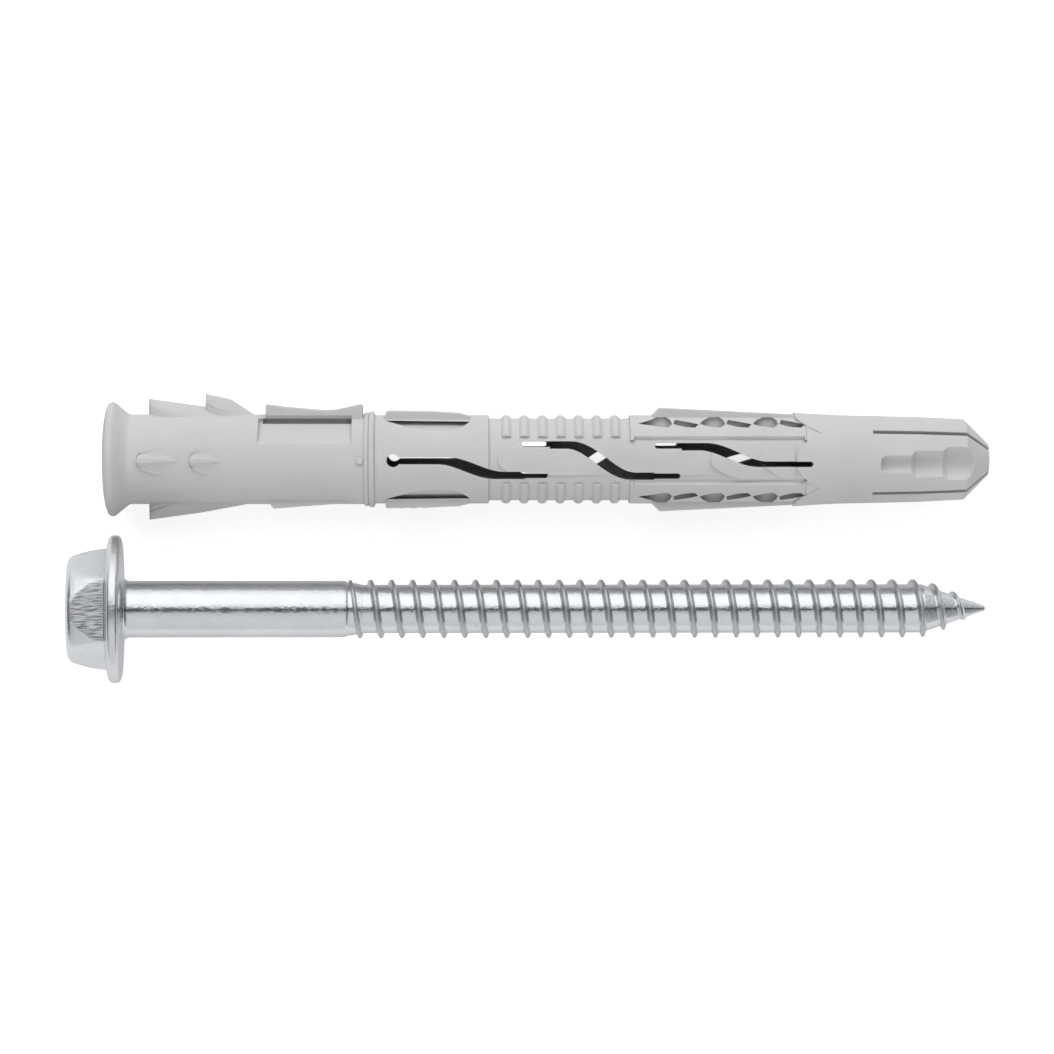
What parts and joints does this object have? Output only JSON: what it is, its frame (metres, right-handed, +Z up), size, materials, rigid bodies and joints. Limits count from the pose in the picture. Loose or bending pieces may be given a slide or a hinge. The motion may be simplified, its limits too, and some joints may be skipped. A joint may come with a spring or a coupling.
{
  "type": "hex head frame fixing",
  "caption": "Moulded nylon frame-fixing sleeve with slit expansion part, wings and jaws, beside its zinc-plated hex flange screw with a coarse thread.",
  "frame": {"origin": "on the surface that the two pieces lie on, under the middle of their common box", "axes": "+X from the heads to the points, +Y from the screw to the sleeve, +Z up"},
  "size_m": [0.1044, 0.0326, 0.0167],
  "materials": {
    "nylon": "light grey moulded nylon, satin",
    "zinc_plated_steel": "bright zinc plating"
  },
  "bodies": {
    "root": {"sleeve": "nylon", "screw": "zinc_plated_steel"}
  },
  "joints": []
}
